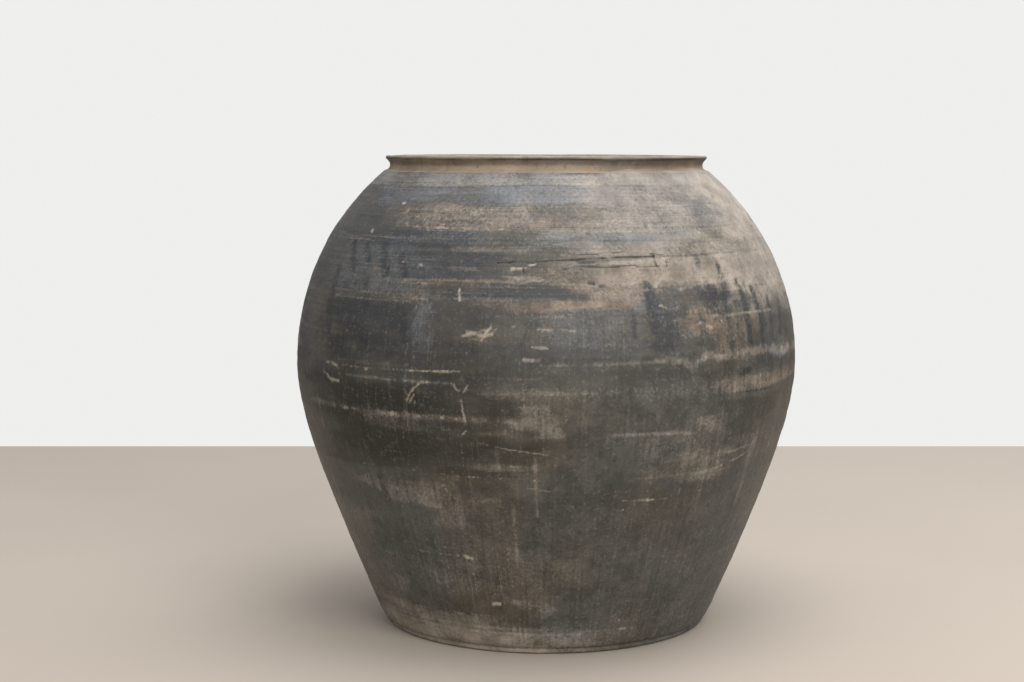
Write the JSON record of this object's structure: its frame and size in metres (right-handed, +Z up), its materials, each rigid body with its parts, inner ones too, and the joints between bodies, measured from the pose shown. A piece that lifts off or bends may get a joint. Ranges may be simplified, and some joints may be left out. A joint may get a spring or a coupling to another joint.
{
  "type": "round clay storage jar",
  "caption": "Wide-mouthed, round-bellied storage jar of smoke-blackened clay, with a tapering foot, short neck and thin flared lip.",
  "frame": {"origin": "middle of the flat underside, on the surface the jar stands on", "axes": "+Z up along the jar's axis; -Y is the side seen from the front"},
  "size_m": [0.496, 0.496, 0.463],
  "materials": {
    "burnished_clay": "satin",
    "foot_clay": "matte",
    "neck_clay": "matte",
    "rim_clay": "matte"
  },
  "bodies": {
    "root": {"base_slab": "foot_clay", "foot_course": "burnished_clay", "lower_wall_course": "burnished_clay", "flare_course": "burnished_clay", "lower_belly_course": "burnished_clay", "belly_course": "burnished_clay", "upper_belly_course": "burnished_clay", "lower_shoulder_course": "burnished_clay", "shoulder_course": "burnished_clay", "upper_shoulder_course": "burnished_clay", "neck_collar": "neck_clay", "rim_lip": "rim_clay"}
  },
  "joints": []
}
